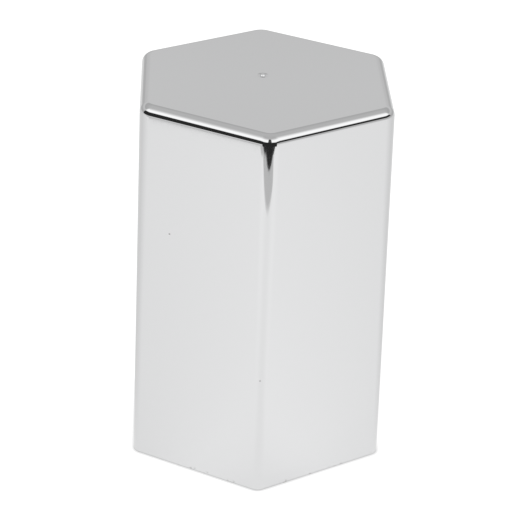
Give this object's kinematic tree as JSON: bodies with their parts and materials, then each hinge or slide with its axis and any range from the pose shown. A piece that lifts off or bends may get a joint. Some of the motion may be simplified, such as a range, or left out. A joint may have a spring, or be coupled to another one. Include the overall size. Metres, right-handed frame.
{
  "type": "wheel nut cover",
  "caption": "Tall hexagonal push-on wheel nut cover: closed chromed shell with an open mouth, and a sprung retainer inside that grips the nut.",
  "frame": {"origin": "on the axis of the hexagon, in the plane of the open rim", "axes": "+Z along the axis from the open rim to the closed roof; the six flats face 0, 60, 120, 180, 240 and 300 degrees round from +X, so corners lie on +Y and -Y"},
  "size_m": [0.041, 0.0468, 0.0632],
  "materials": {
    "plated_shell": "moulded ABS with bright decorative chrome plating",
    "black_nylon": "moulded black nylon, fine spark texture",
    "spring_wire": "drawn and zinc-coated spring wire",
    "gasket_rubber": "moulded black rubber",
    "spring_steel": "tempered spring strip"
  },
  "bodies": {
    "cage": {"retainer_cage": "black_nylon", "hanger_ring": "spring_wire", "rim_gasket": "gasket_rubber"},
    "cover": {"cover_shell": "plated_shell"},
    "leaf_1": {"spring_leaf_1": "spring_steel"},
    "leaf_2": {"spring_leaf_2": "spring_steel"},
    "leaf_3": {"spring_leaf_3": "spring_steel"},
    "leaf_4": {"spring_leaf_4": "spring_steel"},
    "leaf_5": {"spring_leaf_5": "spring_steel"},
    "leaf_6": {"spring_leaf_6": "spring_steel"}
  },
  "joints": [
    {"name": "cover_pull", "type": "slide", "parent": "cage", "child": "cover", "axis": [0, 0, 1], "range_m": [0, 0.05]},
    {"name": "leaf_1_rock", "type": "hinge", "parent": "cage", "child": "leaf_1", "pos_m": [0.0162, 0, 0.03307], "axis": [0, -1, 0], "range_deg": [0, 3], "stiffness_Nm_per_rad": 1.5},
    {"name": "leaf_2_rock", "type": "hinge", "parent": "cage", "child": "leaf_2", "pos_m": [0.0081, 0.01403, 0.03307], "axis": [0.866, -0.5, 0], "range_deg": [0, 3], "stiffness_Nm_per_rad": 1.5},
    {"name": "leaf_3_rock", "type": "hinge", "parent": "cage", "child": "leaf_3", "pos_m": [-0.0081, 0.01403, 0.03307], "axis": [0.866, 0.5, 0], "range_deg": [0, 3], "stiffness_Nm_per_rad": 1.5},
    {"name": "leaf_4_rock", "type": "hinge", "parent": "cage", "child": "leaf_4", "pos_m": [-0.0162, 0, 0.03307], "axis": [0, 1, 0], "range_deg": [0, 3], "stiffness_Nm_per_rad": 1.5},
    {"name": "leaf_5_rock", "type": "hinge", "parent": "cage", "child": "leaf_5", "pos_m": [-0.0081, -0.01403, 0.03307], "axis": [-0.866, 0.5, 0], "range_deg": [0, 3], "stiffness_Nm_per_rad": 1.5},
    {"name": "leaf_6_rock", "type": "hinge", "parent": "cage", "child": "leaf_6", "pos_m": [0.0081, -0.01403, 0.03307], "axis": [-0.866, -0.5, 0], "range_deg": [0, 3], "stiffness_Nm_per_rad": 1.5}
  ]
}
